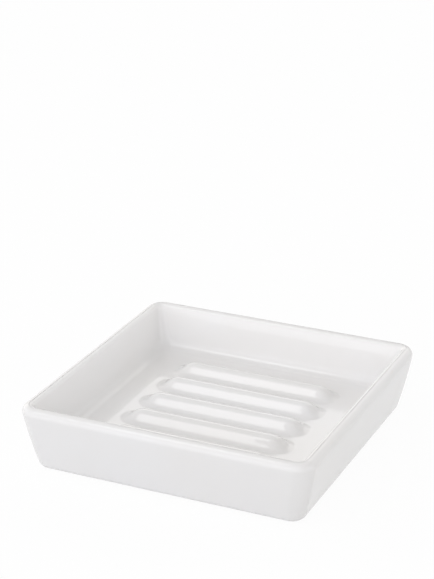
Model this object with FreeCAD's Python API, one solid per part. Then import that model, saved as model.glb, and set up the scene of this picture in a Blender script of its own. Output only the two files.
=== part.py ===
import FreeCAD, Part
import math
import os

# Soap dish: one piece of glazed ceramic, a square tray with leaning walls and a bank of
# raised drain ribs on its floor. Lengths are in millimetres, angles in degrees.
# The dish stands on z = 0 about the origin, and its ribs run along X.

# Outer form, with its edges taken as sharp before they are rounded
rim_side = 120.0
dish_height = 26.5
wall_draft = 12.0
wall_belly = 0.3
rim_corner_radius = 7.8
base_corner_radius = 5.4
base_edge_radius = 3.0

# Wall and rim: the rim is rolled over from the outer face to the inner face
wall_thickness = 5.4
rim_outer_share = 0.54
rim_inner_share = 0.31
least_corner_share = 0.2

# Well: the hollow that holds the soap, with a cove where its walls meet its floor
floor_height = 9.0
cove_radius = 4.5
floor_corner_share = 1.07

# Drain ribs: long domes with splayed flanks and round ends, side by side on the floor
rib_width = 14.0
rib_height = 4.0
rib_gap = 2.0
rib_end_border = 13.4
rib_bank_border = 10.5
rib_dome_share = 0.89

# Foot: the dish stands on a flat band round a shallow hollow in its underside
foot_band = 9.0
foot_hollow_depth = 3.2
foot_hollow_draft = 30.0
foot_hollow_corner_radius = 6.0

# How far a cutting form runs past the face that it cuts, or a rib down into the floor
overrun = 1.5

# Sizes that follow from those above
lean = math.tan(math.radians(wall_draft))
hollow_lean = math.tan(math.radians(foot_hollow_draft))
rim_half = rim_side / 2
base_half = rim_half - dish_height * lean
well_rim_half = rim_half - wall_thickness
well_depth = dish_height - floor_height
floor_half = well_rim_half - well_depth * lean
well_corner_radius = max(rim_corner_radius - wall_thickness, rim_corner_radius * least_corner_share)
floor_corner_radius = cove_radius * floor_corner_share
rim_outer_radius = wall_thickness * rim_outer_share
rim_inner_radius = wall_thickness * rim_inner_share
rib_half = rib_width / 2
rib_pitch = rib_width + rib_gap
rib_length = 2 * (floor_half - rib_end_border)
rib_count = int((2 * (floor_half - rib_bank_border) + rib_gap) / rib_pitch)
rib_dome_radius = rib_dome_share * (rib_half ** 2 + rib_height ** 2) / (2 * rib_height)
hollow_half = base_half - foot_band
same_place = overrun / 1000


def point(x, y, z):
    return FreeCAD.Vector(x, y, z)


def line(start, end):
    return Part.LineSegment(start, end).toShape()


def leaning_bar(low_half, high_half, low, high, belly):
    """A bar along Y whose two flanks lean between heights low and high, and swell by belly midway."""
    reach = 2 * max(low_half, high_half)
    flanks = []
    for side in (-1, 1):
        foot = point(side * low_half, -reach, low)
        head = point(side * high_half, -reach, high)
        middle = point(side * ((low_half + high_half) / 2 + belly), -reach, (low + high) / 2)
        flanks.append(Part.Arc(foot, middle, head).toShape() if belly else line(foot, head))
    base = line(point(-low_half, -reach, low), point(low_half, -reach, low))
    top = line(point(-high_half, -reach, high), point(high_half, -reach, high))
    section = Part.Wire([flanks[0], base, flanks[1], top])
    return Part.Face(section).extrude(point(0, 2 * reach, 0))


def leaning_block(low_half, high_half, low, high, belly=0):
    """A square block with four like walls: what a leaning bar and the same bar turned square share."""
    bar = leaning_bar(low_half, high_half, low, high, belly)
    turned = bar.copy()
    turned.rotate(point(0, 0, 0), point(0, 0, 1), 90)
    return bar.common(turned)


def sharp_corners(block):
    """The edges where two walls still meet sharply, which lie over the diagonals."""
    found = []
    for edge in block.Edges:
        middle = edge.CenterOfMass
        if edge.BoundBox.ZLength > same_place and abs(abs(middle.x) - abs(middle.y)) < same_place:
            found.append(edge)
    return found


def round_corners(block, low_radius, high_radius):
    """The block with its four upright corners rounded, by one radius at their feet and another at their heads."""
    for corner in range(4):
        edge = sharp_corners(block)[0]
        rises = edge.valueAt(edge.FirstParameter).z < edge.valueAt(edge.LastParameter).z
        start, end = (low_radius, high_radius) if rises else (high_radius, low_radius)
        block = block.makeFillet(start, end, [edge])
    return block


def edges_at(solid, z, least_half, most_half):
    """The edges that lie flat at height z, between two half widths from the middle."""
    found = []
    for edge in solid.Edges:
        box = edge.BoundBox
        reach = max(abs(box.XMin), abs(box.XMax), abs(box.YMin), abs(box.YMax))
        level = max(abs(box.ZMin - z), abs(box.ZMax - z)) < same_place
        if level and least_half < reach < most_half:
            found.append(edge)
    return found


def outer_body():
    """The leaning, slightly bellied walls as one block, rounded at its base and over its rim."""
    block = leaning_block(base_half, rim_half, 0, dish_height, wall_belly)
    block = round_corners(block, base_corner_radius, rim_corner_radius)
    block = block.makeFillet(base_edge_radius, edges_at(block, 0, 0, rim_half))
    return block.makeFillet(rim_outer_radius, edges_at(block, dish_height, 0, 2 * rim_half))


def well_form():
    """The hollow of the dish, from its floor to just above its rim, coved at the floor."""
    mouth_half = well_rim_half + overrun * lean
    form = leaning_block(floor_half, mouth_half, floor_height, dish_height + overrun)
    form = round_corners(form, floor_corner_radius, well_corner_radius)
    return form.makeFillet(cove_radius, edges_at(form, floor_height, 0, rim_half))


def foot_hollow_form():
    """The shallow hollow in the underside, narrower at its ceiling than at its mouth."""
    mouth_half = hollow_half + overrun * hollow_lean
    ceiling_half = hollow_half - foot_hollow_depth * hollow_lean
    form = leaning_block(mouth_half, ceiling_half, -overrun, foot_hollow_depth)
    return round_corners(form, foot_hollow_corner_radius, foot_hollow_corner_radius)


def rib_half_section(x, y):
    """Half of a rib's cross-section, as a face across X: over the dome, straight down the flank and back below."""
    axis_depth = rib_dome_radius - rib_height
    slant = math.hypot(rib_half, axis_depth)
    flank = math.atan2(rib_half, axis_depth) - math.acos(rib_dome_radius / slant)
    bottom = floor_height - overrun

    def on_dome(angle):
        out, up = rib_dome_radius * math.sin(angle), rib_dome_radius * math.cos(angle)
        return point(x, y + out, floor_height - axis_depth + up)

    foot = point(x, y + rib_half, floor_height)
    outline = [
        Part.Arc(on_dome(0), on_dome(flank / 2), on_dome(flank)).toShape(),
        line(on_dome(flank), foot),
        line(foot, point(x, y + rib_half, bottom)),
        line(point(x, y + rib_half, bottom), point(x, y, bottom)),
        line(point(x, y, bottom), on_dome(0)),
    ]
    return Part.Face(Part.Wire(outline))


def rib(y):
    """One drain rib: its section run along X, and turned half way round at each end."""
    reach = rib_length / 2 - rib_half
    half = rib_half_section(-reach, y).extrude(point(2 * reach, 0, 0))
    whole = half.fuse(half.mirror(point(0, y, 0), point(0, 1, 0)))
    for side in (-1, 1):
        pivot = point(side * reach, y, 0)
        end = rib_half_section(side * reach, y).revolve(pivot, point(0, 0, 1), -180 * side)
        whole = whole.fuse(end)
    return whole.removeSplitter()


def rib_places():
    """The Y of each rib, evenly spaced about the middle of the floor."""
    first = -rib_pitch * (rib_count - 1) / 2
    return [first + rib_pitch * place for place in range(rib_count)]


def dish():
    body = outer_body().cut(well_form())
    body = body.makeFillet(rim_inner_radius, edges_at(body, dish_height, 0, well_rim_half + overrun / 2))
    body = body.cut(foot_hollow_form())
    for y in rib_places():
        body = body.fuse(rib(y))
    return body.removeSplitter()


os.makedirs("parts", exist_ok=True)
soap_dish = dish()
print("solids", len(soap_dish.Solids), "valid", soap_dish.isValid(), "volume", round(soap_dish.Volume))
soap_dish.exportStep("parts/dish.step")
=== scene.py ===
"""A glazed ceramic soap dish: a square tray with leaning walls, a rolled rim and raised drain ribs."""
import math

import bpy
from mathutils import Matrix, Vector


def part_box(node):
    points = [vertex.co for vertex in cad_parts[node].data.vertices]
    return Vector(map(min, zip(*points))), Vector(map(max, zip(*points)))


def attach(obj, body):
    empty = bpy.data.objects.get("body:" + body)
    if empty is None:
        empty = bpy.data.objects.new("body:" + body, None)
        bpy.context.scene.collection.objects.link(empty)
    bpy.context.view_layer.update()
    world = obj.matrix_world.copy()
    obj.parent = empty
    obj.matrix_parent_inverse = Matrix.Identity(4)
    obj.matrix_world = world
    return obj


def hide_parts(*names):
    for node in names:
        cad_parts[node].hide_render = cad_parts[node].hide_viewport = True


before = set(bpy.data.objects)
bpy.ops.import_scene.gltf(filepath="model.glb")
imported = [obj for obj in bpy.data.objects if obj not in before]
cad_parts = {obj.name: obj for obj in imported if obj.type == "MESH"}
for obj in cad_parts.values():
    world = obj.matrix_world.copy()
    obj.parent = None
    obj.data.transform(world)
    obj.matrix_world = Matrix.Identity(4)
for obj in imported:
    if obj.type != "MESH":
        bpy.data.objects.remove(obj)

bl_info = {
    "name": "Glazed soap dish",
    "version": (1, 0, 0),
    "blender": (4, 5, 0),
    "location": "3D View > Sidebar > Soap dish",
    "description": "Builds a glazed soap dish with drain ribs, and a pale studio round it",
    "category": "Add Mesh",
}

BODY = "root"
NODE = "dish"
MM = 0.001
WHITE = (1.0, 1.0, 1.0, 1.0)

dish_low, dish_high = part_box(NODE)


# Settings that a user would change

def length(name, description, millimetres, **more):
    return bpy.props.FloatProperty(
        name=name, description=description, default=millimetres * MM, min=0.0,
        unit="LENGTH", precision=5, **more)


def angle(name, description, degrees):
    return bpy.props.FloatProperty(
        name=name, description=description, default=math.radians(degrees), subtype="ANGLE")


def share(name, description, value):
    return bpy.props.FloatProperty(
        name=name, description=description, default=value, min=0.0, soft_max=1.0, subtype="FACTOR")


def amount(name, description, value):
    return bpy.props.FloatProperty(name=name, description=description, default=value, min=0.0)


def colour(name, description, red, green, blue):
    return bpy.props.FloatVectorProperty(
        name=name, description=description, default=(red, green, blue, 1.0),
        min=0.0, max=1.0, size=4, subtype="COLOR")


class TraySizes(bpy.types.PropertyGroup):
    """The tray's form, from its underside over the rim to its floor"""

    half_width: length("Half width", "From the middle to the outside of the rim", dish_high.x / MM)
    height: length("Height", "From the table to the top of the rim", dish_high.z / MM)
    skin: length("Skin", "How far the glazed surface keeps inside the overall size", 0.02)
    draft: angle("Draft", "How far the walls lean outwards", 12.0)
    belly: length("Belly", "How far each outer wall swells midway", 0.3)
    wall: length("Wall", "Thickness of the wall along the level", 5.4)
    rim_corner: length("Rim corner", "Radius of the outer corners at the rim", 7.8)
    base_corner: length("Base corner", "Radius of the outer corners at the base", 5.4)
    base_edge: length("Base edge", "Radius of the edge between walls and base", 3.0)
    rim_outer: length("Outer roll", "Radius of the rim on its outer side", 2.92)
    rim_inner: length("Inner roll", "Radius of the rim on its inner side", 2.15)
    flare: length("Flare", "How far the inner walls flare out under the rim", 0.2)
    flare_depth: length("Flare depth", "How far down the inner walls that flare reaches", 5.0)
    floor: length("Floor height", "Height of the floor of the well above the table", 9.0)
    cove: length("Cove", "Radius where the inner walls meet the floor", 4.5)
    well_corner: length("Well corner", "Radius of the inner corners at the rim", 2.4)
    floor_corner: length("Floor corner", "Radius of the inner corners at the floor", 4.8)
    foot_band: length("Foot band", "Width of the base outside the hollow of the underside", 9.0)
    hollow: length("Hollow", "Depth of the hollow in the underside", 3.2)
    hollow_draft: angle("Hollow draft", "How far the sides of that hollow lean", 30.0)
    hollow_corner: length("Hollow corner", "Radius of the corners of that hollow", 6.0)
    hollow_edge: length("Hollow edge", "Radius of the edges of that hollow", 0.9)


class RibSizes(bpy.types.PropertyGroup):
    """The drain ribs on the floor of the well"""

    count: bpy.props.IntProperty(
        name="Ribs", description="How many ribs lie side by side", default=5, min=1)
    pitch: length("Pitch", "From the middle of one rib to the next", 16.0)
    height: length("Rise", "How far a rib stands out of the floor", 4.1)
    flank: angle("Flank", "How steep the bevels along a rib are", 45.0)
    crown: length("Crown", "Radius of a rib's top", 4.0)
    foot: length("Foot", "From a rib's middle line to where its hollow foot would lie level", 8.6)
    sunk: length("Sunk", "How deep that foot runs under the floor, which leaves a crease", 0.25)
    top: length("Top length", "Length of a rib's straight top, between its falling ends", 54.0)
    stretch: amount("Stretch", "How much longer the slopes are at a rib's ends than at its sides", 1.35)
    boxiness: amount("Boxiness", "How square a rib's ends are: 2 is round", 2.6)


class GlazeLook(bpy.types.PropertyGroup):
    """Colours and surface of the glaze"""

    white: colour("White", "Glaze at its usual thickness", 0.89, 0.883, 0.88)
    warm: colour("Warm white", "Glaze where it ran thin over an edge", 0.87, 0.85, 0.825)
    speck: colour("Speck", "Dark specks and pinholes", 0.25, 0.22, 0.19)
    thin: share("Thin edges", "How far the glaze turns to the warm white over an edge", 0.5)
    drift: share("Drift", "How far the glaze's colour drifts towards the warm white", 0.35)
    drift_length: length("Drift length", "Length of that drift", 45.0)
    smooth: share("Smoothest", "Roughness of the glaze where it is smoothest", 0.012)
    dull: share("Dullest", "Roughness of the glaze where it is dullest", 0.03)
    pinhole: length("Pinhole", "Radius of the widest pinhole in the glaze", 0.22)
    pinhole_depth: length("Pinhole depth", "Depth of a pinhole", 0.1)
    pinhole_spacing: length("Pinhole spacing", "Room round each place for a pinhole", 9.0)
    pinholes: share("Pinholes", "How many of those places have a pinhole", 0.16)
    ripple: length("Ripple", "Height of the glaze's long ripples", 0.09)
    ripple_length: length("Ripple length", "Length of those ripples", 26.0)
    shimmer: length("Shimmer", "Height of the glaze's short ripples", 0.008)
    shimmer_length: length("Shimmer length", "Length of those short ripples", 7.0)
    seed: bpy.props.IntProperty(
        name="Seed", description="Picks the pattern of the ripples", default=3)


class ClayLook(bpy.types.PropertyGroup):
    """Colour and surface of the bare clay that the dish stands on"""

    fired: colour("Fired clay", "Bare clay as it comes from the kiln", 0.70, 0.66, 0.60)
    drift: share("Drift", "How far the clay's colour drifts towards the glaze's warm white", 0.5)
    drift_length: length("Drift length", "Length of that drift", 12.0)
    smooth: share("Smoothest", "Roughness of the clay where it is smoothest", 0.7)
    dull: share("Dullest", "Roughness of the clay where it is dullest", 0.85)
    speck: length("Speck", "Radius of the widest speck in the clay", 0.3)
    speck_spacing: length("Speck spacing", "Room round each place for a speck", 3.0)
    specks: share("Specks", "How many of those places have a speck", 0.3)
    grain: length("Grain", "Height of the clay's grain", 0.08)
    grain_length: length("Grain length", "Length of that grain", 0.4)


class StudioLook(bpy.types.PropertyGroup):
    """The pale table and the light round it"""

    table: colour("Table", "Colour of the table, as it lights the dish", 0.74, 0.74, 0.74)
    shade_kept: share("Shade kept", "How much of the object's shadow shows on the table", 0.06)
    horizon: amount("Horizon", "Light that comes from low down all round", 0.34)
    ceiling: amount("Ceiling", "Light that comes from above", 0.20)
    panels: amount("Panels", "Strength of all the light panels round the dish", 1.06)
    room: colour("Room", "Colour of the light from all round", 0.99, 0.99, 1.0)
    cool: colour("Cool", "Colour of the coolest panels", 0.905, 0.928, 1.0)
    warm: colour("Warm", "Colour of the warmest panels", 1.0, 0.965, 0.89)
    softbox: amount("Softbox", "Power of the lamp overhead, in watts", 0.62)


class DishSettings(bpy.types.PropertyGroup):
    """All settings of the soap dish"""

    tray: bpy.props.PointerProperty(type=TraySizes, name="Tray", description="Sizes of the tray")
    ribs: bpy.props.PointerProperty(type=RibSizes, name="Ribs", description="Sizes of the drain ribs")
    glaze: bpy.props.PointerProperty(type=GlazeLook, name="Glaze", description="Look of the glaze")
    clay: bpy.props.PointerProperty(type=ClayLook, name="Clay", description="Look of the bare foot")
    studio: bpy.props.PointerProperty(type=StudioLook, name="Studio", description="Table and light")


# Nodes

def add_node(tree, kind, inputs=None, **settings):
    """A new node with its settings and inputs, each input a value or another node's socket."""
    node = tree.nodes.new(kind)
    for name, value in settings.items():
        setattr(node, name, value)
    for key, value in (inputs or {}).items():
        if isinstance(value, bpy.types.NodeSocket):
            tree.links.new(value, node.inputs[key])
        else:
            node.inputs[key].default_value = value
    return node


def maths(tree, operation, *values):
    """The result of one sum on values and sockets."""
    return add_node(tree, "ShaderNodeMath", dict(enumerate(values)), operation=operation).outputs[0]


def vector_maths(tree, operation, *values):
    """The vector that one vector sum gives."""
    node = add_node(tree, "ShaderNodeVectorMath", dict(enumerate(values)), operation=operation)
    return node.outputs[0]


def scaled(tree, vector, factor):
    """A vector times a number."""
    node = add_node(tree, "ShaderNodeVectorMath", {0: vector, "Scale": factor}, operation="SCALE")
    return node.outputs[0]


def smooth_step(tree, value, low, high, at_low=0.0, at_high=1.0):
    """Runs smoothly from at_low to at_high while value runs from low to high."""
    inputs = {0: value, 1: low, 2: high, 3: at_low, 4: at_high}
    return add_node(tree, "ShaderNodeMapRange", inputs, interpolation_type="SMOOTHSTEP").outputs[0]


def mixed_colour(tree, factor, first, second):
    """A colour between two others."""
    node = add_node(tree, "ShaderNodeMix", {0: factor, 6: first, 7: second}, data_type="RGBA")
    return node.outputs[2]


def new_group(name, kind, inputs, outputs):
    """An empty node group with its named sockets, and its inner input and output nodes."""
    tree = bpy.data.node_groups.new(name, kind)
    for in_out, sockets in (("INPUT", inputs), ("OUTPUT", outputs)):
        for label, socket_type in sockets.items():
            tree.interface.new_socket(name=label, in_out=in_out, socket_type="NodeSocket" + socket_type)
    return tree, tree.nodes.new("NodeGroupInput").outputs, tree.nodes.new("NodeGroupOutput").inputs


def use_group(tree, group, inputs=None):
    """A group placed in another tree, with its inputs given by name."""
    kind = "GeometryNodeGroup" if tree.bl_idname == "GeometryNodeTree" else "ShaderNodeGroup"
    return add_node(tree, kind, inputs, node_tree=group).outputs


# The tray as a plain mesh: rings that follow its section, and a grid that closes each end

# Into how many steps each stretch of the section is cut
HOLLOW_EDGE_STEPS = 5
HOLLOW_SIDE_STEPS = 3
BASE_EDGE_STEPS = 18
OUTER_WALL_STEPS = 9
OUTER_ROLL_STEPS = 22
INNER_ROLL_STEPS = 16
INNER_WALL_STEPS = 10
COVE_STEPS = 12


def setback(radius, lean):
    """How far a fillet's centre lies from its edge, between the level and a leaning wall."""
    return radius * (1 - math.sin(lean)) / math.cos(lean)


def arc(centre, level, radius, start, end, steps):
    """Points of an arc in the plane of the section, each a distance from the middle and a height."""
    turns = [start + (end - start) * step / steps for step in range(steps + 1)]
    return [(centre + radius * math.cos(turn), level + radius * math.sin(turn)) for turn in turns]


def run(start, end, steps, bulge=0.0):
    """Points between two others, left out themselves, on a line or on one that bulges outwards."""
    points = []
    for step in range(1, steps):
        way = step / steps
        swell = 4 * bulge * way * (1 - way)
        half = start[0] + (end[0] - start[0]) * way + swell
        points.append((half, start[1] + (end[1] - start[1]) * way))
    return points


def flared(points, top, flare, depth):
    """Points of the inner wall, moved outwards near the top so that the wall flares into the rim."""
    return [(half + flare * min(1.0, max(0.0, 1 - (top - z) / depth)) ** 2, z) for half, z in points]


def tray_section(tray):
    """The tray's rings from the hollow of the underside, over the rim, to the floor of the well.

    Each is (half width, distance of the corner's centre from the middle, height).
    """
    lean, hollow_lean = tray.draft, tray.hollow_draft
    slope, hollow_slope = math.tan(lean), math.tan(hollow_lean)
    up, down, left, full_turn = math.pi / 2, -math.pi / 2, math.pi, 2 * math.pi
    top = tray.height - tray.skin
    roll_centre = tray.half_width - tray.skin - tray.rim_outer
    rim_half = roll_centre + setback(tray.rim_outer, -lean)
    base_half = rim_half - top * slope
    well_half = rim_half - tray.wall
    floor_half = well_half - (top - tray.floor) * slope
    hollow_half = base_half - tray.foot_band
    ceiling_half = hollow_half - tray.hollow * hollow_slope

    # The wall swells as a parabola does, which turns it by this angle at its foot and at its head
    swing = math.atan(4 * tray.belly / top)

    def outer_core(z):
        low, high = base_half - tray.base_corner, rim_half - tray.rim_corner
        return low + (high - low) * z / top

    def inner_core(z):
        low, high = floor_half - tray.floor_corner, well_half - tray.well_corner
        return low + (high - low) * (z - tray.floor) / (top - tray.floor)

    def hollow_core(z):
        return hollow_half - tray.hollow_corner - z * hollow_slope

    edge = tray.hollow_edge
    edge_setback = setback(edge, hollow_lean)
    ceiling = arc(ceiling_half - edge_setback, tray.hollow - edge, edge,
                  up, hollow_lean, HOLLOW_EDGE_STEPS)
    mouth = arc(hollow_half + edge_setback, edge, edge,
                left + hollow_lean, down + full_turn, HOLLOW_EDGE_STEPS)
    base = arc(base_half - setback(tray.base_edge, lean), tray.base_edge, tray.base_edge,
               down, -lean - swing, BASE_EDGE_STEPS)
    roll = arc(roll_centre, top - tray.rim_outer, tray.rim_outer,
               swing - lean, up, OUTER_ROLL_STEPS)
    inner = arc(well_half + setback(tray.rim_inner, lean), top - tray.rim_inner, tray.rim_inner,
                up, left - lean, INNER_ROLL_STEPS)
    cove = arc(floor_half - setback(tray.cove, lean), tray.floor + tray.cove, tray.cove,
               -lean, down, COVE_STEPS)

    hollow_rings = ceiling + run(ceiling[-1], mouth[0], HOLLOW_SIDE_STEPS) + mouth
    outer_rings = base + run(base[-1], roll[0], OUTER_WALL_STEPS, tray.belly) + roll
    inner_rings = inner + run(inner[-1], cove[0], INNER_WALL_STEPS) + cove
    inner_rings = flared(inner_rings, inner[-1][1], tray.flare, tray.flare_depth)
    rings = [(half, hollow_core(z), z) for half, z in hollow_rings]
    rings += [(half, outer_core(z), z) for half, z in outer_rings]
    rings += [(half, inner_core(z), z) for half, z in inner_rings]
    return rings


# Steps round half a corner. Of the floor's rows the walls have every third, and of its rows and
# columns the ceiling of the hollow has every sixth
CORNER_STEPS = 6
ROW_STRIDE = 3
CEILING_STRIDE = 6

# The dish stands on the faces that lie this near to the table's level
SAME_LEVEL = MM / 1000


def line_shares(*stretches):
    """Where lines cross a side, from -1 to 1: each stretch has its end and its number of steps."""
    shares = [-1.0]
    for end, steps in stretches:
        start = shares[-1]
        shares += [start + (end - start) * step / steps for step in range(1, steps + 1)]
    return shares


# Along the ribs the lines lie close where the ribs end, and across them wherever there are ribs
SHARES_ALONG = line_shares((-0.84, 6), (-0.44, 30), (0.44, 24), (0.84, 30), (1.0, 6))
SHARES_ACROSS = line_shares((-0.86, 12), (0.86, 318), (1.0, 12))
STEPS_ALONG = len(SHARES_ALONG) - 1 + 2 * CORNER_STEPS
STEPS_ACROSS = len(SHARES_ACROSS) - 1 + 2 * CORNER_STEPS * ROW_STRIDE


def side_place(step, shares, half, core):
    """Where one of the mesh's lines crosses a ring's side, before the corners are rounded."""
    corner_steps = CORNER_STEPS if shares is SHARES_ALONG else CORNER_STEPS * ROW_STRIDE
    steps = len(shares) - 1 + 2 * corner_steps
    if step < corner_steps:
        return -half + (half - core) * step / corner_steps
    if step > steps - corner_steps:
        return half - (half - core) * (steps - step) / corner_steps
    return core * shares[step - corner_steps]


def rounded(x, y, half, core):
    """A point of a square, moved so that the square's corners become arcs."""
    radius = half - core
    s, t = (abs(x) - core) / radius, (abs(y) - core) / radius
    if s <= 0 or t <= 0:
        return x, y
    return (math.copysign(core + radius * s * math.sqrt(1 - t * t / 2), x),
            math.copysign(core + radius * t * math.sqrt(1 - s * s / 2), y))


def border_steps(stride):
    """The steps along X and Y of a grid's border, once round, with every stride-th row."""
    steps = [(step, 0) for step in range(STEPS_ALONG)]
    steps += [(STEPS_ALONG, step) for step in range(0, STEPS_ACROSS, stride)]
    steps += [(STEPS_ALONG - step, STEPS_ACROSS) for step in range(STEPS_ALONG)]
    steps += [(0, STEPS_ACROSS - step) for step in range(0, STEPS_ACROSS, stride)]
    return steps


def tray_mesh(tray):
    """The tray without its ribs: rings with few rows, then a floor with many, and a hidden ceiling."""
    rings = tray_section(tray)
    border, floor_border = border_steps(ROW_STRIDE), border_steps(1)
    vertices, faces = [], []

    def put(half, core, z, column, row):
        x = side_place(column, SHARES_ALONG, half, core)
        y = side_place(row, SHARES_ACROSS, half, core)
        vertices.append((*rounded(x, y, half, core), z))
        return len(vertices) - 1

    ring_rows = [[put(*ring, *step) for step in border] for ring in rings[:-1]]
    for low, high in zip(ring_rows, ring_rows[1:]):
        for here in range(len(border)):
            after = (here + 1) % len(border)
            faces.append((low[here], low[after], high[after], high[here]))

    # The floor's border has more points than the walls' rings, and the faces between take them all in
    floor_row = [put(*rings[-1], *step) for step in floor_border]
    starts = [floor_border.index(step) for step in border]
    for here, start in enumerate(starts):
        after = (here + 1) % len(border)
        fine = (floor_row + floor_row[:1])[start:(starts[after] or len(floor_row)) + 1]
        faces.append((ring_rows[-1][here], ring_rows[-1][after], *reversed(fine)))

    def grid(ring, known, stride):
        """Closes a ring: the border's own vertices, and new ones at every stride inside it."""
        for column in range(stride, STEPS_ALONG, stride):
            for row in range(stride, STEPS_ACROSS, stride):
                known[column, row] = put(*ring, column, row)
        for column in range(0, STEPS_ALONG, stride):
            for row in range(0, STEPS_ACROSS, stride):
                walk = [(column + step, row) for step in range(stride)]
                walk += [(column + stride, row + step) for step in range(stride)]
                walk += [(column + stride - step, row + stride) for step in range(stride)]
                walk += [(column, row + stride - step) for step in range(stride)]
                yield [known[step] for step in walk if step in known]

    ceiling = grid(rings[0], dict(zip(border, ring_rows[0])), CEILING_STRIDE)
    faces += [tuple(reversed(face)) for face in ceiling]
    floor_start = len(faces)
    faces += [tuple(face) for face in grid(rings[-1], dict(zip(floor_border, floor_row)), 1)]
    mesh = bpy.data.meshes.new("tray")
    mesh.from_pydata(vertices, [], faces)

    on_floor = set(vertex for face in faces[floor_start:] for vertex in face)
    floor_mark = mesh.attributes.new("well_floor", "BOOLEAN", "POINT")
    floor_mark.data.foreach_set("value", [vertex in on_floor for vertex in range(len(vertices))])
    bare_mark = mesh.attributes.new("bare_foot", "BOOLEAN", "FACE")
    bare_mark.data.foreach_set("value", [
        all(abs(vertices[vertex][2]) < SAME_LEVEL for vertex in face) for face in faces])
    return mesh


# Geometry nodes: the ribs are raised out of the floor, and the glaze lies in slow ripples

def rib_section_group():
    """Height of a rib away from its middle line: a round top, a straight bevel, a hollow foot."""
    numbers = ["Away", "Foot", "Rise", "Flank", "Crown"]
    tree, given, result = new_group("Rib section", "GeometryNodeTree",
                                    {name: "Float" for name in numbers}, {"Height": "Float"})

    def squared(value):
        return maths(tree, "MULTIPLY", value, value)

    def choice(test, when_true, when_false):
        inputs = {"Switch": test, "True": when_true, "False": when_false}
        return add_node(tree, "GeometryNodeSwitch", inputs, input_type="FLOAT").outputs[0]

    away, crown = given["Away"], given["Crown"]
    sine, slope = maths(tree, "SINE", given["Flank"]), maths(tree, "TANGENT", given["Flank"])
    sink = maths(tree, "SUBTRACT", 1, maths(tree, "COSINE", given["Flank"]))
    top_end = maths(tree, "MULTIPLY", crown, sine)
    bevel_top = maths(tree, "SUBTRACT", given["Rise"], maths(tree, "MULTIPLY", crown, sink))
    bevel_run = maths(tree, "ADD", top_end, maths(tree, "DIVIDE", bevel_top, slope))
    half_turn = maths(tree, "TANGENT", maths(tree, "DIVIDE", given["Flank"], 2))
    hollow = maths(tree, "DIVIDE", maths(tree, "SUBTRACT", given["Foot"], bevel_run), half_turn)
    bevel_end = maths(tree, "SUBTRACT", given["Foot"], maths(tree, "MULTIPLY", hollow, sine))

    over = maths(tree, "MAXIMUM", maths(tree, "SUBTRACT", squared(crown), squared(away)), 0)
    over = maths(tree, "SQRT", over)
    over = maths(tree, "ADD", maths(tree, "SUBTRACT", given["Rise"], crown), over)
    bevel = maths(tree, "MULTIPLY", maths(tree, "SUBTRACT", bevel_run, away), slope)
    left = maths(tree, "MAXIMUM", maths(tree, "SUBTRACT", given["Foot"], away), 0)
    under = maths(tree, "MAXIMUM", maths(tree, "SUBTRACT", squared(hollow), squared(left)), 0)
    under = maths(tree, "SUBTRACT", hollow, maths(tree, "SQRT", under))
    height = choice(maths(tree, "LESS_THAN", away, top_end), over, bevel)
    height = choice(maths(tree, "GREATER_THAN", away, bevel_end), under, height)
    tree.links.new(height, result["Height"])
    return tree


def rib_rise_group():
    """How far a point of the floor rises: the nearest rib's section, stretched at the rib's ends."""
    section_inputs = ("Foot", "Flank", "Crown")
    inputs = {"Position": "Vector", "Ribs": "Int", "Pitch": "Float", "Rise": "Float", "Sunk": "Float",
              "Top length": "Float", "Stretch": "Float", "Boxiness": "Float",
              **{name: "Float" for name in section_inputs}}
    tree, given, result = new_group("Rib rise", "GeometryNodeTree", inputs, {"Rise": "Float"})
    place = add_node(tree, "ShaderNodeSeparateXYZ", {0: given["Position"]}).outputs
    most = maths(tree, "SUBTRACT", given["Ribs"], 1)
    middle = maths(tree, "DIVIDE", most, 2)
    lane = maths(tree, "DIVIDE", place["Y"], given["Pitch"])
    lane = maths(tree, "ROUND", maths(tree, "ADD", lane, middle))
    lane = maths(tree, "MINIMUM", maths(tree, "MAXIMUM", lane, 0), most)
    lane_y = maths(tree, "MULTIPLY", maths(tree, "SUBTRACT", lane, middle), given["Pitch"])
    across = maths(tree, "ABSOLUTE", maths(tree, "SUBTRACT", place["Y"], lane_y))

    reach = maths(tree, "DIVIDE", given["Top length"], 2)
    beyond = maths(tree, "SUBTRACT", maths(tree, "ABSOLUTE", place["X"]), reach)
    beyond = maths(tree, "MAXIMUM", beyond, 0)
    beyond = maths(tree, "DIVIDE", beyond, given["Stretch"])
    powers = [maths(tree, "POWER", maths(tree, "DIVIDE", each, given["Foot"]), given["Boxiness"])
              for each in (across, beyond)]
    away = maths(tree, "POWER", maths(tree, "ADD", *powers), maths(tree, "DIVIDE", 1, given["Boxiness"]))
    away = maths(tree, "MULTIPLY", away, given["Foot"])
    height = use_group(tree, rib_section_group(), {
        "Away": away, "Rise": maths(tree, "ADD", given["Rise"], given["Sunk"]),
        **{name: given[name] for name in section_inputs}})["Height"]
    above = maths(tree, "MAXIMUM", maths(tree, "SUBTRACT", height, given["Sunk"]), 0)
    tree.links.new(above, result["Rise"])
    return tree


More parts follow.
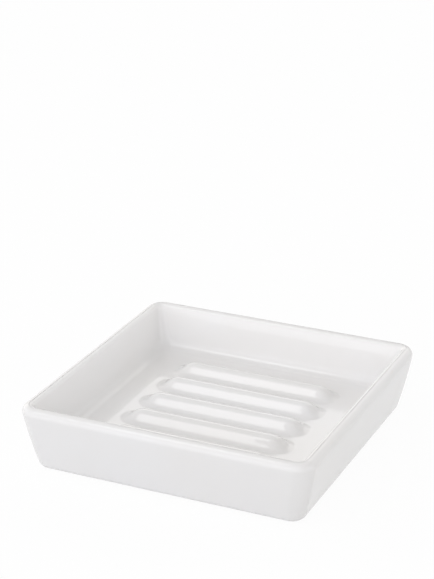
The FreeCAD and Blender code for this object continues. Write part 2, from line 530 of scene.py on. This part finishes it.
def ripple_group():
    """How far the glaze sinks below its mean surface: slow noise, nothing at the foot."""
    inputs = {"Position": "Vector", "Height": "Float", "Length": "Float", "Seed": "Float",
              "Calm below": "Float"}
    tree, given, result = new_group("Glaze ripple", "GeometryNodeTree", inputs, {"Sink": "Float"})
    scale = maths(tree, "DIVIDE", 1, given["Length"])
    noise_inputs = {"Vector": given["Position"], "W": given["Seed"], "Scale": scale, "Detail": 0.0}
    noise = add_node(tree, "ShaderNodeTexNoise", noise_inputs, noise_dimensions="4D").outputs[0]
    level = add_node(tree, "ShaderNodeSeparateXYZ", {0: given["Position"]}).outputs["Z"]
    calm = smooth_step(tree, level, 0.0, given["Calm below"])
    sink = maths(tree, "MULTIPLY", maths(tree, "MULTIPLY", noise, given["Height"]), calm)
    tree.links.new(sink, result["Sink"])
    return tree


def dish_tree():
    """The tree that turns the plain tray into the ribbed and glazed dish."""
    rib_inputs = {"Ribs": "Int", "Pitch": "Float", "Rise": "Float", "Flank": "Float", "Crown": "Float",
                  "Foot": "Float", "Sunk": "Float", "Top length": "Float", "Stretch": "Float",
                  "Boxiness": "Float"}
    glaze_inputs = {"Ripple": "Float", "Ripple length": "Float", "Shimmer": "Float",
                    "Shimmer length": "Float", "Calm below": "Float", "Seed": "Int",
                    "Glaze": "Material", "Clay": "Material"}
    inputs = {"Tray": "Geometry", **rib_inputs, **glaze_inputs}
    tree, given, result = new_group("Ribbed dish", "GeometryNodeTree", inputs, {"Dish": "Geometry"})
    tree.is_modifier = True
    position = tree.nodes.new("GeometryNodeInputPosition").outputs[0]
    normal = tree.nodes.new("GeometryNodeInputNormal").outputs[0]

    def marked(name):
        """Whether a point or face has one of the marks that the plain tray was given."""
        mark = add_node(tree, "GeometryNodeInputNamedAttribute", {"Name": name}, data_type="BOOLEAN")
        return mark.outputs["Attribute"]

    rise = use_group(tree, rib_rise_group(),
                     {"Position": position, **{name: given[name] for name in rib_inputs}})
    lift = add_node(tree, "ShaderNodeCombineXYZ", {2: rise["Rise"]}).outputs[0]
    ribbed = add_node(tree, "GeometryNodeSetPosition",
                      {"Geometry": given["Tray"], "Selection": marked("well_floor"), "Offset": lift})

    ripple = ripple_group()
    sinks = []
    for height, wave in (("Ripple", "Ripple length"), ("Shimmer", "Shimmer length")):
        sinks.append(use_group(tree, ripple, {
            "Position": position, "Height": given[height], "Length": given[wave],
            "Seed": given["Seed"], "Calm below": given["Calm below"]})["Sink"])
    sink = maths(tree, "MULTIPLY", maths(tree, "ADD", *sinks), -1)
    rippled = add_node(tree, "GeometryNodeSetPosition",
                       {"Geometry": ribbed.outputs[0], "Offset": scaled(tree, normal, sink)})

    smooth = add_node(tree, "GeometryNodeSetShadeSmooth", {"Geometry": rippled.outputs[0]})
    realized = add_node(tree, "GeometryNodeRealizeInstances", {"Geometry": smooth.outputs[0]})
    glazed = add_node(tree, "GeometryNodeSetMaterial",
                      {"Geometry": realized.outputs[0], "Material": given["Glaze"]})
    footed = add_node(tree, "GeometryNodeSetMaterial",
                      {"Geometry": glazed.outputs[0], "Selection": marked("bare_foot"),
                       "Material": given["Clay"]})
    tree.links.new(footed.outputs[0], result["Dish"])
    return tree


def set_input(modifier, name, value):
    """Sets one of a modifier's inputs, found by its name and set by its identifier."""
    for item in modifier.node_group.interface.items_tree:
        if item.name == name and item.in_out == "INPUT":
            modifier[item.identifier] = value
            return
    raise KeyError(name)


# Materials

# The smallest speck as a share of the widest, and the share of a speck that is dark throughout
LEAST_SPECK = 0.4
SPECK_CORE = 0.3

# Most of a slow noise and of a fine one lies between these values
SLOW_NOISE = (0.35, 0.65)
FINE_NOISE = (0.3, 0.7)

# How many times shorter the fine noise is than the slow one
FINER = 9

# Pointiness is 0.5 on a flat face and more where a face bends outwards. Between these two values
# the glaze goes from its usual thickness to its thinnest
EDGE_START = 0.51
EDGE_END = 0.56

# How strongly the pinholes and the clay's grain tilt the surface, from 0 to 1
PINHOLE_STRENGTH = 0.6
GRAIN_STRENGTH = 0.5

# The glaze's refractive index
GLAZE_INDEX = 1.5


def speck_group():
    """Small round specks, scattered thinly: a mask of them, and a dent where each lies."""
    tree, given, result = new_group(
        "Specks", "ShaderNodeTree", {"Spacing": "Float", "Size": "Float", "Kept": "Float"},
        {"Mask": "Float", "Dent": "Float"})
    position = tree.nodes.new("ShaderNodeTexCoord").outputs["Object"]
    scale = maths(tree, "DIVIDE", 1, given["Spacing"])
    cells = add_node(tree, "ShaderNodeTexVoronoi", {"Vector": position, "Scale": scale})
    distance, chance = cells.outputs["Distance"], cells.outputs["Color"]
    draw = add_node(tree, "ShaderNodeSeparateColor", {0: chance}).outputs
    kept = maths(tree, "LESS_THAN", draw["Red"], given["Kept"])
    reach = maths(tree, "MULTIPLY", maths(tree, "DIVIDE", given["Size"], given["Spacing"]),
                  smooth_step(tree, draw["Green"], 0.0, 1.0, LEAST_SPECK, 1.0))
    near = smooth_step(tree, maths(tree, "DIVIDE", distance, reach), SPECK_CORE, 1.0, 1.0, 0.0)
    mask = maths(tree, "MULTIPLY", near, kept)
    tree.links.new(mask, result["Mask"])
    tree.links.new(maths(tree, "MULTIPLY", mask, -1), result["Dent"])
    return tree


def drift_group():
    """A slow drift from one colour to another over the surface, and a fine variation beside it."""
    tree, given, result = new_group(
        "Colour drift", "ShaderNodeTree",
        {"First": "Color", "Second": "Color", "Length": "Float", "Amount": "Float"},
        {"Color": "Color", "Fine": "Float"})
    position = tree.nodes.new("ShaderNodeTexCoord").outputs["Object"]
    scale = maths(tree, "DIVIDE", 1, given["Length"])
    slow = add_node(tree, "ShaderNodeTexNoise", {"Vector": position, "Scale": scale, "Detail": 2.0})
    fine = add_node(tree, "ShaderNodeTexNoise",
                    {"Vector": position, "Scale": maths(tree, "MULTIPLY", scale, FINER), "Detail": 3.0})
    drift = maths(tree, "MULTIPLY", smooth_step(tree, slow.outputs[0], *SLOW_NOISE), given["Amount"])
    tree.links.new(mixed_colour(tree, drift, given["First"], given["Second"]), result["Color"])
    tree.links.new(fine.outputs[0], result["Fine"])
    return tree


def thin_edge_group():
    """Where the surface bends outwards, as over the rim, and the glaze ran thin."""
    tree, given, result = new_group(
        "Thin edge", "ShaderNodeTree", {"Low": "Float", "High": "Float"}, {"Mask": "Float"})
    bend = tree.nodes.new("ShaderNodeNewGeometry").outputs["Pointiness"]
    tree.links.new(smooth_step(tree, bend, given["Low"], given["High"]), result["Mask"])
    return tree


def new_material(name):
    """An empty node material, its tree and its surface socket."""
    material = bpy.data.materials.new(name)
    material.use_nodes = True
    material.node_tree.nodes.clear()
    output = material.node_tree.nodes.new("ShaderNodeOutputMaterial")
    return material, material.node_tree, output.inputs["Surface"]


def glaze_material(look, groups):
    """Glossy white glaze: a slow warm drift, thinner and warmer over edges, with a few pinholes."""
    material, tree, surface = new_material("White glaze")
    drift = use_group(tree, groups["drift"], {
        "First": look.white, "Second": look.warm, "Length": look.drift_length, "Amount": look.drift})
    thin = use_group(tree, groups["thin"], {"Low": EDGE_START, "High": EDGE_END})["Mask"]
    worn = mixed_colour(tree, maths(tree, "MULTIPLY", thin, look.thin), drift["Color"], look.warm)
    specks = use_group(tree, groups["specks"], {
        "Spacing": look.pinhole_spacing, "Size": look.pinhole, "Kept": look.pinholes})
    colour_out = mixed_colour(tree, specks["Mask"], worn, look.speck)
    roughness = smooth_step(tree, drift["Fine"], *FINE_NOISE, look.smooth, look.dull)
    bump = add_node(tree, "ShaderNodeBump", {
        "Height": specks["Dent"], "Distance": look.pinhole_depth, "Strength": PINHOLE_STRENGTH})
    shader = add_node(tree, "ShaderNodeBsdfPrincipled", {
        "Base Color": colour_out, "Roughness": roughness, "IOR": GLAZE_INDEX,
        "Normal": bump.outputs[0]})
    tree.links.new(shader.outputs[0], surface)
    return material


def clay_material(look, glaze, groups):
    """Bare fired clay of the foot: matt, slightly grainy, speckled and a little paler in places."""
    material, tree, surface = new_material("Bare clay")
    drift = use_group(tree, groups["drift"], {
        "First": look.fired, "Second": glaze.warm, "Length": look.drift_length, "Amount": look.drift})
    specks = use_group(tree, groups["specks"], {
        "Spacing": look.speck_spacing, "Size": look.speck, "Kept": look.specks})
    colour_out = mixed_colour(tree, specks["Mask"], drift["Color"], glaze.speck)
    position = tree.nodes.new("ShaderNodeTexCoord").outputs["Object"]
    grain = add_node(tree, "ShaderNodeTexNoise",
                     {"Vector": position, "Scale": 1 / look.grain_length, "Detail": 4.0})
    bump = add_node(tree, "ShaderNodeBump", {
        "Height": grain.outputs[0], "Distance": look.grain, "Strength": GRAIN_STRENGTH})
    roughness = smooth_step(tree, drift["Fine"], *FINE_NOISE, look.smooth, look.dull)
    shader = add_node(tree, "ShaderNodeBsdfPrincipled", {
        "Base Color": colour_out, "Roughness": roughness, "Normal": bump.outputs[0]})
    tree.links.new(shader.outputs[0], surface)
    return material


def shown_plainly(tree):
    """Whether a ray comes from the camera, or from a mirror or glass that the camera sees."""
    path = tree.nodes.new("ShaderNodeLightPath").outputs
    seen = maths(tree, "MAXIMUM", path["Is Camera Ray"], path["Is Glossy Ray"])
    return maths(tree, "MAXIMUM", seen, path["Is Transmission Ray"])


def table_material(studio):
    """A white table that shows as plain white but for a soft share of the dish's shadow."""
    material, tree, surface = new_material("Table")
    shown = shown_plainly(tree)
    tint = mixed_colour(tree, shown, studio.table, WHITE)
    matt = add_node(tree, "ShaderNodeBsdfDiffuse", {"Color": tint})
    plain = add_node(tree, "ShaderNodeEmission", {"Color": WHITE, "Strength": 1.0})
    mix = add_node(tree, "ShaderNodeMixShader", {
        0: maths(tree, "MULTIPLY", shown, 1 - studio.shade_kept),
        1: matt.outputs[0], 2: plain.outputs[0]})
    tree.links.new(mix.outputs[0], surface)
    return material


# The studio

def direction(azimuth, elevation):
    """A direction as a vector; azimuth runs from +Y towards +X, both in degrees."""
    turn, rise = math.radians(azimuth), math.radians(elevation)
    return Vector((math.sin(turn) * math.cos(rise), math.cos(turn) * math.cos(rise), math.sin(rise)))


# Up to the first elevation the room's light is that of the horizon, and from the second on that
# of the ceiling
HORIZON_END = 22
CEILING_START = 40

# The light panels round the dish, with angles in degrees: azimuth, elevation, the half angle that is
# fully lit, the half angle at which the light ends, strength, and warmth from 0 (cool) to 1 (warm)
PANELS = (
    (0, 10, 12, 34, 0.19, 0.5),
    (22.5, 32, 12, 34, 0.42, 0.8),
    (45, 10, 12, 34, 0.47, 0.1),
    (85, 2, 8, 22, 1.30, 0.0),
    (90, 10, 12, 34, 0.64, 1.0),
    (166, 10, 25, 52, 0.50, 0.1),
    (188, 15, 30, 60, 0.48, 0.1),
    (188, 60, 35, 75, 0.28, 0.8),
    (204, 4, 9, 12, 0.60, 0.5),
    (247.5, 32, 12, 34, 0.42, 0.0),
    (270, 10, 12, 34, 0.52, 0.4),
    (292.5, 32, 12, 34, 0.58, 0.6),
    (310, 16, 8, 18, 0.28, 1.0),
    (315, 10, 12, 34, 0.60, 0.9),
    (336, 26, 8, 11, 1.02, 0.5),
    (356, 32, 11, 15, 1.00, 0.6),
)


def world_light(studio):
    """White where the camera sees it; to the dish, a dim room with light panels round it."""
    world = bpy.data.worlds.new("Studio")
    bpy.context.scene.world = world
    world.use_nodes = True
    tree = world.node_tree
    tree.nodes.clear()
    way = tree.nodes.new("ShaderNodeTexCoord").outputs["Generated"]
    height = add_node(tree, "ShaderNodeSeparateXYZ", {0: way}).outputs["Z"]
    low, high = math.sin(math.radians(HORIZON_END)), math.sin(math.radians(CEILING_START))
    room = smooth_step(tree, height, low, high, studio.horizon, studio.ceiling)
    light = scaled(tree, studio.room[:3], room)
    for azimuth, elevation, core, spread, strength, warmth in PANELS:
        facing = add_node(tree, "ShaderNodeVectorMath", {0: way, 1: direction(azimuth, elevation)},
                          operation="DOT_PRODUCT").outputs["Value"]
        shine = smooth_step(tree, facing, math.cos(math.radians(spread)), math.cos(math.radians(core)),
                            0.0, strength * studio.panels)
        tint = [cool + (warm - cool) * warmth for cool, warm in zip(studio.cool[:3], studio.warm[:3])]
        light = vector_maths(tree, "ADD", light, scaled(tree, tint, shine))
    lit = add_node(tree, "ShaderNodeBackground", {"Color": light})
    plain = add_node(tree, "ShaderNodeBackground", {"Color": WHITE, "Strength": 1.0})
    path = tree.nodes.new("ShaderNodeLightPath").outputs
    seen = maths(tree, "MAXIMUM", path["Is Camera Ray"], path["Is Transmission Ray"])
    mix = add_node(tree, "ShaderNodeMixShader", {0: seen, 1: lit.outputs[0], 2: plain.outputs[0]})
    output = tree.nodes.new("ShaderNodeOutputWorld")
    tree.links.new(mix.outputs[0], output.inputs["Surface"])


# The soft lamp: where it stands as seen from the dish, in degrees and metres, and its size in metres
LAMP_AZIMUTH = 225.9
LAMP_ELEVATION = 59.1
LAMP_DISTANCE = 1.0
LAMP_WIDTH = 0.22
LAMP_HEIGHT = 0.34


def softbox(studio):
    """A soft lamp above the front left, turned to the dish: it lights one bevel of each rib."""
    lamp = bpy.data.lights.new("Softbox", "AREA")
    lamp.shape = "RECTANGLE"
    lamp.size, lamp.size_y = LAMP_WIDTH, LAMP_HEIGHT
    lamp.energy = studio.softbox
    holder = bpy.data.objects.new("Softbox", lamp)
    holder.visible_camera = False
    bpy.context.scene.collection.objects.link(holder)
    way = direction(LAMP_AZIMUTH, LAMP_ELEVATION)
    turn = way.to_track_quat("Z", "Y").to_matrix().to_4x4()
    holder.matrix_world = Matrix.Translation(way * LAMP_DISTANCE) @ turn


# Half the table's side in metres, and how far it lies under the dish, so that the two don't touch
TABLE_REACH = 4.0
TABLE_LEVEL = -0.05 * MM


def table():
    """A table that fills the picture."""
    corners = [(TABLE_REACH * x, TABLE_REACH * y, TABLE_LEVEL)
               for x, y in ((-1, -1), (1, -1), (1, 1), (-1, 1))]
    mesh = bpy.data.meshes.new("table")
    mesh.from_pydata(corners, [], [(0, 1, 2, 3)])
    mesh.materials.append(table_material(bpy.context.scene.soap_dish.studio))
    plane = bpy.data.objects.new("table", mesh)
    bpy.context.scene.collection.objects.link(plane)


# The camera as it was solved from the dish's outline in the photograph: angles in degrees, its
# distance from the middle of the dish in metres, lens and sensor in millimetres. Unlike the lights',
# its azimuth runs from -Y towards +X
CAMERA_AZIMUTH = 24.214
CAMERA_ELEVATION = 25.783
CAMERA_DISTANCE = 0.716166
CAMERA_PAN = -0.22
CAMERA_TILT = 3.637
CAMERA_LENS = 113.11
SENSOR = 36.0


def camera(target):
    """The photograph's camera: round the target by azimuth and elevation, then panned and tilted."""
    azimuth, elevation = math.radians(CAMERA_AZIMUTH), math.radians(CAMERA_ELEVATION)
    back = Vector((math.sin(azimuth) * math.cos(elevation), -math.cos(azimuth) * math.cos(elevation),
                   math.sin(elevation)))
    right = Vector((math.cos(azimuth), math.sin(azimuth), 0))
    up = right.cross(-back)
    pan, tilt = math.radians(CAMERA_PAN), math.radians(CAMERA_TILT)
    ahead = (-back * math.cos(pan) + right * math.sin(pan)) * math.cos(tilt) + up * math.sin(tilt)
    side = ahead.cross(Vector((0, 0, 1))).normalized()
    lens = bpy.data.cameras.new("Camera")
    lens.lens = CAMERA_LENS
    lens.sensor_width = SENSOR
    lens.clip_start, lens.clip_end = 0.01, 50.0
    holder = bpy.data.objects.new("Camera", lens)
    turn = Matrix((side, side.cross(ahead), -ahead)).transposed()
    holder.matrix_world = Matrix.Translation(target + back * CAMERA_DISTANCE) @ turn.to_4x4()
    bpy.context.scene.collection.objects.link(holder)
    bpy.context.scene.camera = holder


# Operators, the panel and registering

class SOAPDISH_OT_dish(bpy.types.Operator):
    """Builds the ribbed and glazed dish in place of the plain solid"""

    bl_idname = "soap_dish.dish"
    bl_label = "Build the dish"

    def execute(self, context):
        settings = context.scene.soap_dish
        tray, ribs, look, clay = settings.tray, settings.ribs, settings.glaze, settings.clay
        groups = {"specks": speck_group(), "drift": drift_group(), "thin": thin_edge_group()}
        base = bpy.data.objects.new("tray_base", tray_mesh(tray))
        context.scene.collection.objects.link(base)
        modifier = base.modifiers.new("Ribs and ripples", "NODES")
        modifier.node_group = dish_tree()
        values = {
            "Ribs": ribs.count, "Pitch": ribs.pitch, "Rise": ribs.height, "Flank": ribs.flank,
            "Crown": ribs.crown, "Foot": ribs.foot, "Sunk": ribs.sunk, "Top length": ribs.top,
            "Stretch": ribs.stretch, "Boxiness": ribs.boxiness,
            "Ripple": look.ripple, "Ripple length": look.ripple_length,
            "Shimmer": look.shimmer, "Shimmer length": look.shimmer_length,
            "Calm below": tray.base_edge, "Seed": look.seed,
            "Glaze": glaze_material(look, groups), "Clay": clay_material(clay, look, groups),
        }
        for name, value in values.items():
            set_input(modifier, name, value)
        evaluated = base.evaluated_get(context.evaluated_depsgraph_get())
        mesh = bpy.data.meshes.new_from_object(evaluated)
        mesh.name = "soap_dish"
        bpy.data.objects.remove(base)
        if not mesh.polygons:
            raise RuntimeError("the dish came out with no faces")
        dish = bpy.data.objects.new("soap_dish", mesh)
        context.scene.collection.objects.link(dish)
        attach(dish, BODY)
        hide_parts(NODE)
        return {"FINISHED"}


class SOAPDISH_OT_studio(bpy.types.Operator):
    """Sets the table, the light and the camera"""

    bl_idname = "soap_dish.studio"
    bl_label = "Set up the studio"

    def execute(self, context):
        studio = context.scene.soap_dish.studio
        table()
        world_light(studio)
        softbox(studio)
        camera(Vector((0, 0, dish_high.z / 2)))
        context.scene.view_settings.view_transform = "Standard"
        return {"FINISHED"}


class SOAPDISH_PT_panel(bpy.types.Panel):
    """The soap dish's settings and buttons"""

    bl_idname = "SOAPDISH_PT_panel"
    bl_label = "Soap dish"
    bl_space_type = "VIEW_3D"
    bl_region_type = "UI"
    bl_category = "Soap dish"

    def draw(self, context):
        settings = context.scene.soap_dish
        for operator in OPERATORS:
            self.layout.operator(operator.bl_idname)
        groups = (settings.tray, settings.ribs, settings.glaze, settings.clay, settings.studio)
        for group in groups:
            box = self.layout.box()
            for name in group.bl_rna.properties.keys():
                if name not in ("rna_type", "name"):
                    box.prop(group, name)


OPERATORS = (SOAPDISH_OT_dish, SOAPDISH_OT_studio)
CLASSES = (TraySizes, RibSizes, GlazeLook, ClayLook, StudioLook, DishSettings, *OPERATORS,
           SOAPDISH_PT_panel)


def register():
    for each in CLASSES:
        bpy.utils.register_class(each)
    bpy.types.Scene.soap_dish = bpy.props.PointerProperty(
        type=DishSettings, name="Soap dish", description="Settings of the soap dish")


def unregister():
    del bpy.types.Scene.soap_dish
    for each in reversed(CLASSES):
        bpy.utils.unregister_class(each)


def main():
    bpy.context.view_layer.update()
    register()
    bpy.ops.soap_dish.dish()
    bpy.ops.soap_dish.studio()


if __name__ == "__main__":
    main()
